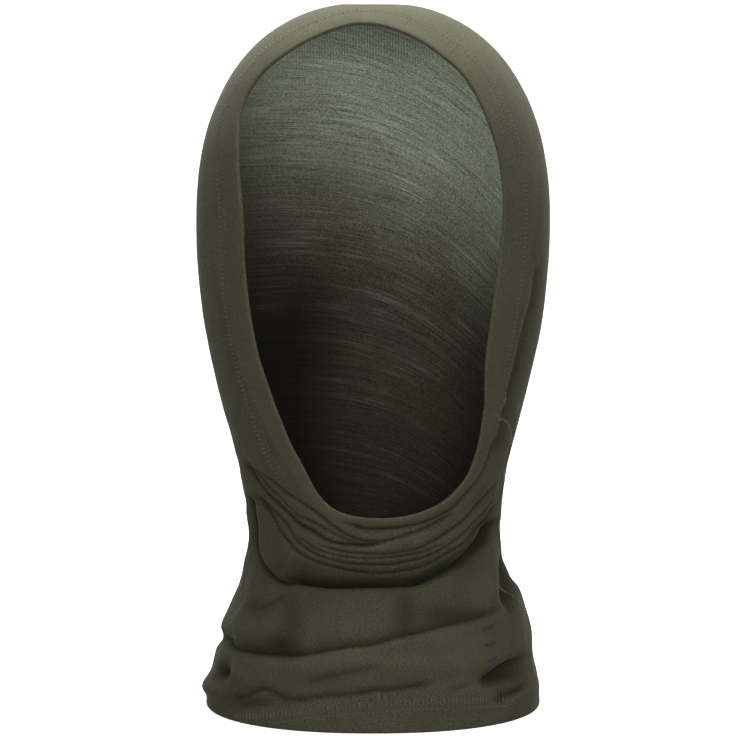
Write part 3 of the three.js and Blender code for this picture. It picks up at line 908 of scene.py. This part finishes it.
neck_tack = knot("neck_seam_knot", "neck_seam_tack", neck_row(16.4), seam_turn(16.0), 0.7, 6)
face_tack = knot("rim_seam_knot", "face_seam_tack", rim_row(LOOPER_ROW), SEAM_ANGLE, 0.8, 9)
print("knots of", len(neck_tack.data.vertices) // len(bar), "bars")

# %% Blank care label
LABEL_LOW, LABEL_TALL, LABEL_GAP = 37, 44, 1.6  # mm of cloth, and mm off the lowest fold
label_u, label_s = np.meshgrid(np.radians(np.linspace(67, 83, 14)),
                               np.linspace(LABEL_LOW, LABEL_LOW + LABEL_TALL, 24), indexing="ij")
label_p, label_out, _ = framed(label_u, label_s, label_s)
hang = np.minimum(lift(label_u, label_p), 0).min()
curl = 1.2 * np.sin((label_s - LABEL_LOW) / LABEL_TALL * math.pi) + 0.5 * np.sin(label_u * 9 + label_s / 9)
label_grid = label_p + SHIFT + label_out * (hang - CLOTH - LABEL_GAP - curl)[..., None]
label = strip("blank_care_label", label_grid, 0.25)
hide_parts("care_label")

# %% Three plain bars on the cloth
deselect()
bpy.ops.mesh.primitive_cube_add(size=1)
block = bpy.context.object
block.dimensions = (7.2, 2.0, 0.24)
bpy.ops.object.transform_apply(location=True, rotation=True, scale=True)
bpy.ops.object.mode_set(mode="EDIT")
for place, way in [((cut, 0, 0), (1, 0, 0)) for cut in np.linspace(-3, 3, 9)] + [((0, 0, 0), (0, 1, 0))]:
    bpy.ops.mesh.select_all(action="SELECT")
    bpy.ops.mesh.bisect(plane_co=place, plane_no=way)
bpy.ops.object.mode_set(mode="OBJECT")
block_pattern = taken(block)

MARK_HEIGHTS, MARK_ANGLE = [30.5, 37.5, 44.5], 44.5
mark_s = cloth_at(np.array(MARK_HEIGHTS))
mark_u = np.radians(np.full(len(mark_s), MARK_ANGLE))
mark_p, mark_out, mark_up = framed(mark_u, mark_s, mark_s)
mark_at = mark_p + SHIFT + mark_out * lift(mark_u, mark_p)[:, None]
mark = laid("plain_bar_mark", "tonal_mark", block_pattern, mark_at, mark_up, mark_out, 2.5, 0.06)
print("mark of", len(mark_s), "bars, lowest at", mark_at[:, 2].min().round(1), "mm")

threads = [neck_ladder, neck_chain, neck_looper, face_ladder, face_chain, face_looper, seam_thread, neck_tack,
           face_tack]

# %% [markdown]
# ## Dyeing the wool
# The yarn is spun from fibres dyed in several shades, so the cloth is heathered: mostly dark olive, with
# lighter and browner flecks of half a millimetre, drawn out along the rows of stitches. Fine wool is also
# fuzzy, which a little sheen gives. Node maths is written as ordinary sums: a small class wraps a socket, and
# its operators place the Math nodes.

# %% A small class for shader maths
class Wire:
    """An output socket that takes part in sums."""

    def __init__(self, tree, socket):
        self.tree, self.socket = tree, socket

    def node(self, kind, settings=None, values=None, out=0):
        """Any node: its type, its settings, and the values or wires of its input sockets."""
        made = self.tree.nodes.new(kind)
        for key, value in (settings or {}).items():
            if key == "stops":
                ramp = made.color_ramp
                while len(ramp.elements) < len(value):
                    ramp.elements.new(0.5)
                for element, (place, colour) in zip(ramp.elements, value):
                    element.position, element.color = place, (*colour, 1)
            else:
                setattr(made, key, value)
        for key, value in (values or {}).items():
            if isinstance(value, Wire):
                self.tree.links.new(value.socket, made.inputs[key])
            else:
                made.inputs[key].default_value = value
        return Wire(self.tree, made.outputs[out])

    def _sum(self, operation, a, b):
        return self.node("ShaderNodeMath", {"operation": operation}, {0: a, 1: b})

    def __add__(self, other):
        return self._sum("ADD", self, other)

    def __sub__(self, other):
        return self._sum("SUBTRACT", self, other)

    def __mul__(self, other):
        return self._sum("MULTIPLY", self, other)

    def __pow__(self, other):
        return self._sum("POWER", self, other)

    def __rsub__(self, other):
        return self._sum("SUBTRACT", other, self)

    __radd__, __rmul__ = __add__, __mul__

    def noise(self, scale, detail=2.0, rough=0.5):
        """Cloudy values from 0 to 1 at this place."""
        return self.node("ShaderNodeTexNoise", {}, {"Vector": self, "Scale": scale, "Detail": detail,
                                                    "Roughness": rough})

    def stretched(self, x, y, z=1.0):
        """This place with its axes multiplied, so that a pattern on it is drawn out."""
        return self.node("ShaderNodeMapping", {}, {"Vector": self, "Scale": (x, y, z)})

    def between(self, low, high, a=0.0, b=1.0):
        """Values from low to high moved to a to b, and held there."""
        return self.node("ShaderNodeMapRange", {"interpolation_type": "SMOOTHSTEP"},
                         {"Value": self, "From Min": low, "From Max": high, "To Min": a, "To Max": b})

    def tint(self, colour, other):
        """Mix of two colours; this wire says how much of the other."""
        pair = [value if isinstance(value, Wire) else (*value, 1) for value in (colour, other)]
        return self.node("ShaderNodeMix", {"data_type": "RGBA"}, {0: self, 6: pair[0], 7: pair[1]}, 2)

    def times(self, colour):
        """This colour multiplied by another."""
        return self.node("ShaderNodeMix", {"data_type": "RGBA", "blend_type": "MULTIPLY"},
                         {0: 1.0, 6: self, 7: colour}, 2)

    def parts(self):
        """The three numbers of a place."""
        made = self.node("ShaderNodeSeparateXYZ", {}, {0: self}).socket.node
        return [Wire(self.tree, socket) for socket in made.outputs]

    def with_parts(self, x, y, z):
        return self.node("ShaderNodeCombineXYZ", {}, {0: x, 1: y, 2: z})


def finish(name, roughness, sheen=0.0, sheen_rough=0.5, specular=0.5, sheen_tint=(1, 1, 1)):
    """A new material: its shader, its object place and its grain place."""
    made = bpy.data.materials.new(name)
    made.use_nodes = True
    shader = made.node_tree.nodes["Principled BSDF"]
    shader.inputs["Roughness"].default_value = roughness
    shader.inputs["Sheen Weight"].default_value = sheen
    shader.inputs["Sheen Roughness"].default_value = sheen_rough
    shader.inputs["Sheen Tint"].default_value = (*sheen_tint, 1)
    shader.inputs["Specular IOR Level"].default_value = specular
    coordinates = made.node_tree.nodes.new("ShaderNodeTexCoord")
    place = Wire(made.node_tree, coordinates.outputs["Object"])
    grain = Wire(made.node_tree, coordinates.outputs["UV"])
    return made, shader, place, grain


def feed(shader, colour, bump=None, strength=0.3, depth=0.0003):
    """Connect a colour, and a relief `depth` metres high, to a material's shader."""
    tree = shader.id_data
    tree.links.new(colour.socket, shader.inputs["Base Color"])
    if bump is not None:
        out = bump.node("ShaderNodeBump", {}, {"Height": bump, "Strength": strength, "Distance": depth})
        tree.links.new(out.socket, shader.inputs["Normal"])


print("shader sums ready")

# %% [markdown]
# Outside, the face of the jersey shows fine upright ribs and level rows. The flecks read the cloth's own UV
# map, in metres of cloth, so that they follow the folds as yarn does. The band of double cloth round the rim
# is painted a little paler: partly the double cloth's own colour, partly painted light that brightens the band.

# %% Wool, outside
OLIVE, OLIVE_DARK = (0.062, 0.059, 0.035), (0.036, 0.034, 0.019)
OLIVE_PALE, OLIVE_BROWN = (0.112, 0.112, 0.077), (0.080, 0.062, 0.036)
# The near-black olive of the shade painted into the folds and under the chin.
OLIVE_FOLD_SHADE = (0.006, 0.0055, 0.003)

wool, wool_shader, place, grain = finish("heathered_wool", 0.92, 0.06, 0.4, 0.08, (0.86, 0.9, 0.7))
flecks = grain.stretched(900, 1700).noise(1.0, 2.0, 0.6)
slubs = grain.stretched(70, 1500).noise(1.0, 2.0, 0.5)
clouds = place.noise(55.0, 2.0, 0.5)
brown = grain.stretched(260, 900).noise(1.0, 1.0, 0.5)
colour = flecks.between(0.30, 0.72).tint(OLIVE_DARK, OLIVE_PALE)
colour = slubs.between(0.3, 0.7, 0.4, 0.5).tint(colour, OLIVE)
colour = brown.between(0.55, 0.75, 0, 0.55).tint(colour, OLIVE_BROWN)
colour = slubs.between(0.58, 0.78, 0, 0.35).tint(colour, OLIVE_PALE)
colour = clouds.between(0.35, 0.7, 0, 0.25).tint(colour, OLIVE_DARK)
# Partly painted light: the band of double cloth round the rim is made a little paler.
pale_and_lit_rim_band = grain.parts()[1].between((RIM_V - 22) * MM, (RIM_V - 18) * MM, 0, 0.2)
colour = pale_and_lit_rim_band.tint(colour, OLIVE_PALE)
rib = grain.node("ShaderNodeTexWave", {"wave_type": "BANDS", "bands_direction": "X"},
                 {"Vector": grain, "Scale": 240.0, "Distortion": 1.2, "Detail": 1.0, "Detail Scale": 40.0}, 1)
# Painted shade: the colour darkens towards near black where the cloth lies deep in the folds and under the
# chin.
folded = grain.node("ShaderNodeAttribute", {"attribute_name": "hollow"}, {}, 2)
colour = (folded * 0.86).tint(colour, OLIVE_FOLD_SHADE)
feed(wool_shader, colour, rib * 0.4 + flecks * 0.7 + slubs * 0.5, 0.3, 0.0002)
print("outside:", len(wool.node_tree.nodes), "nodes")

# %% [markdown]
# Inside, the wool is painted paler and greener above and browner below, as painted light where light would
# fall through the stretched crown, and painted shade keeps the throat and the low corner on the wearer's right
# dark. The rows of stitches run level on the wearer's right and sweep down towards the left, in a cubic curve,
# because the tube was twisted as it was pulled on. Along them run pale streaks where the yarn is thin. Upright
# ribs show only right under the rim.

# %% Wool, inside
inside, inside_shader, place, grain = finish("wool_reverse", 0.95, 0.12, 0.5, 0.1, (0.86, 0.9, 0.8))
across, deep, tall = place.parts()
height = tall * 1000
swept = height + 0.000023 * (across * 1000 + 65) ** 3.0
rows_place = place.with_parts(across * 1000, deep * 1000, swept)
fine_rows = rows_place.stretched(0.04, 0.02, 1.7).noise(1.0, 3.0, 0.68)
long_rows = rows_place.stretched(0.010, 0.01, 0.30).noise(1.0, 3.0, 0.6)
blotches = rows_place.stretched(0.022, 0.01, 0.016).noise(1.0, 2.0, 0.5)
specks = place.noise(1150.0, 1.0, 0.6)
# Painted light: the colour runs from dark brown low down to pale green high up, tilted across the inside, and
# the pale streaks and specks brighten with it.
tilted = height + across * 580.0
glow = tilted.between(140.0, 316.0)
ground = glow.tint((0.040, 0.034, 0.023), (0.105, 0.110, 0.088))
pale = glow.tint((0.125, 0.118, 0.092), (0.21, 0.225, 0.20))
patchy = place.noise(38.0, 2.0, 0.6).between(0.30, 0.72)
grainy = place.noise(1500.0, 1.0, 0.7)
knit = place.node("ShaderNodeTexWave", {"wave_type": "BANDS", "bands_direction": "X"},
                  {"Vector": place, "Scale": 224.0, "Distortion": 0.6, "Detail": 1.0, "Detail Scale": 60.0}, 1)
# Painted shade: the low corner on the wearer's right is darkened almost to black.
painted_corner_shade = (across * 1000).between(5.0, -42.0) * height.between(235.0, 165.0)
for mask, dye in [
        (blotches.between(0.42, 0.62, 0.0, 0.6) * height.between(265.0, 215.0), (0.050, 0.037, 0.022)),
        (long_rows.between(0.52, 0.74) * patchy * 0.7, pale),
        (fine_rows.between(0.50, 0.70) * patchy * 0.75, pale),
        (fine_rows.between(0.50, 0.30) * 0.65, (0.014, 0.013, 0.009)),
        (knit.between(0.45, 0.1) * height.between(298.0, 318.0) * 0.55, (0.020, 0.020, 0.015)),
        (grainy.between(0.50, 0.66) * (glow * 0.3 + 0.2), pale),
        (grainy.between(0.48, 0.34) * 0.4, (0.012, 0.011, 0.008)),
        (specks.between(0.60, 0.78) * (glow * 0.3 + 0.05), pale),
        (painted_corner_shade * 0.9, (0.004, 0.0035, 0.003)),
        # Painted shade: darker towards the throat at the bottom.
        (height.between(150.0, 95.0, 0.0, 0.5), (0.006, 0.005, 0.004))]:
    ground = mask.tint(ground, dye)
feed(inside_shader, ground, fine_rows * 1.0 + specks * 0.5, 0.4, 0.0003)

# Painted light: the inside glows by emission where light through the stretched crown would fall, strongest
# where the cloth is paler, and less just under the rim, as painted shade of the hem.
under_rim = height.between(306.0, 326.0, 1.0, 0.62)
painted_through_glow = (tilted.between(182.0, 305.0) * under_rim).tint((0, 0, 0), (0.96, 1.02, 0.91))
inside.node_tree.links.new(ground.times(painted_through_glow).socket, inside_shader.inputs["Emission Color"])
inside_shader.inputs["Emission Strength"].default_value = 1.0
print("inside:", len(inside.node_tree.nodes), "nodes")

# %% [markdown]
# The thread is spun polyester, a shade browner than the wool, and slightly shiny. The label is plain pale
# satin, and the mark is a matt print only a shade away from the cloth.

# %% Thread, label and mark
thread, thread_shader, place, grain = finish("brown_thread", 0.7, 0.1, 0.4, 0.3)
twist = place.noise(2600.0, 1.0, 0.5)
browns = twist.between(0.3, 0.7).tint((0.050, 0.037, 0.021), (0.112, 0.084, 0.052))
feed(thread_shader, browns, twist, 0.4, 0.0001)

satin, satin_shader, place, grain = finish("pale_satin", 0.45, 0.2, 0.3, 0.5)
weave = place.stretched(1.0, 1.0, 3.0).noise(1400.0, 1.0, 0.5)
feed(satin_shader, weave.between(0.3, 0.7).tint((0.56, 0.54, 0.49), (0.66, 0.64, 0.59)), weave, 0.2, 0.0001)

print_ink, ink_shader, place, grain = finish("tonal_print", 0.8, 0.0, 0.5, 0.25)
wear = place.noise(1800.0, 2.0, 0.6)
feed(ink_shader, wear.between(0.35, 0.75).tint((0.018, 0.020, 0.011), (0.036, 0.040, 0.023)), wear, 0.3, 0.0001)

for piece in threads:
    piece.data.materials.append(thread)
tube.data.materials.append(wool)
tube.data.materials.append(inside)
seam_strip.data.materials.append(inside)
label.data.materials.append(satin)
mark.data.materials.append(print_ink)
print("materials:", sorted(m.name for m in (wool, inside, thread, satin, print_ink)))

# %% [markdown]
# ## Studio
# The gaiter stands on a pale floor that runs up into a pale wall. A soft light hangs close above the crown,
# so that the crown is bright and every fold has a dark underside. One far in front, one behind, a very soft
# sun and the pale surroundings fill the rest.

# %% Floor and wall in one sweep
deselect()
bpy.ops.mesh.primitive_plane_add(size=1)
sweep = bpy.context.object
sweep.name = "pale_sweep"
FLOOR_SIZE, WALL_Y, WALL_HEIGHT = 40.0, 2.5, 5.0
sweep.scale = (FLOOR_SIZE, FLOOR_SIZE, 1)
sweep.location = (0, WALL_Y - FLOOR_SIZE / 2, 0)
bpy.ops.object.transform_apply(location=True, rotation=True, scale=True)
bpy.ops.object.mode_set(mode="EDIT")
bpy.ops.mesh.select_mode(type="EDGE")
bpy.ops.mesh.select_all(action="DESELECT")
bpy.ops.object.mode_set(mode="OBJECT")
for edge in sweep.data.edges:
    edge.select = all(sweep.data.vertices[i].co.y > WALL_Y - 0.01 for i in edge.vertices)
bpy.ops.object.mode_set(mode="EDIT")
bpy.ops.mesh.extrude_region_move(TRANSFORM_OT_translate={"value": (0, 0, WALL_HEIGHT)})
bpy.ops.object.mode_set(mode="OBJECT")
corner = sweep.modifiers.new("corner", "BEVEL")
corner.width, corner.segments, corner.angle_limit = 1.2, 24, math.radians(40)
deselect()
sweep.select_set(True)
bpy.context.view_layer.objects.active = sweep
bpy.ops.object.modifier_apply(modifier="corner")
bpy.ops.object.shade_smooth()
paper, paper_shader, place, grain = finish("pale_paper", 0.9, 0.0, 0.5, 0.1)
paper_grain = place.noise(3.0, 1.0, 0.5)
feed(paper_shader, paper_grain.tint((0.86, 0.86, 0.86), (0.90, 0.90, 0.90)))
paper_shader.inputs["Emission Color"].default_value = (1, 1, 1, 1)
paper_shader.inputs["Emission Strength"].default_value = 0.7
sweep.visible_diffuse = False
sweep.data.materials.append(paper)
print("floor and wall:", [round(v, 2) for v in sweep.dimensions], "m")

# %% Lights and surroundings
WORLD_STRENGTH = 0.15
SUN_STRENGTH, SUN_SOFTNESS = 0.7, math.radians(80)
LIGHTS = [
    ("overhead", (0.03, 0.09, 0.84), 0.5, 8.6),
    ("front", (0.12, -2.2, 0.50), 0.8, 28.5),
    ("back", (-0.3, 1.9, 1.15), 0.8, 9.0),
]
world = bpy.data.worlds.new("pale_room")
world.use_nodes = True
world.node_tree.nodes["Background"].inputs["Color"].default_value = (1, 1, 1, 1)
world.node_tree.nodes["Background"].inputs["Strength"].default_value = WORLD_STRENGTH
bpy.context.scene.world = world
for name, spot, size, power in LIGHTS:
    lamp = bpy.data.lights.new(name, "AREA")
    lamp.shape, lamp.size, lamp.energy = "DISK", size, power
    holder = linked(name, lamp)
    holder.location = spot
    aim = Vector((0, -0.02, 0.15)) - holder.location
    holder.rotation_euler = aim.to_track_quat("-Z", "Y").to_euler()
sky = bpy.data.lights.new("soft_sky", "SUN")
sky.energy, sky.angle = SUN_STRENGTH, SUN_SOFTNESS
linked("soft_sky", sky)
print(len(LIGHTS) + 1, "soft lights")

# %% Camera
FIELD_WIDTH = 358.08
camera = bpy.data.cameras.new("front_camera")
camera.sensor_width = 36
camera.lens = camera.sensor_width * EYE_DISTANCE / FIELD_WIDTH
stand = linked("front_camera", camera)
stand.location = Vector(EYE * MM)
stand.rotation_euler = (Vector(LOOK_AT * MM) - stand.location).to_track_quat("-Z", "Y").to_euler()
bpy.context.scene.camera = stand
bpy.context.scene.view_settings.view_transform = "Standard"
print("lens", round(camera.lens, 1), "mm at", EYE_DISTANCE * MM, "m")
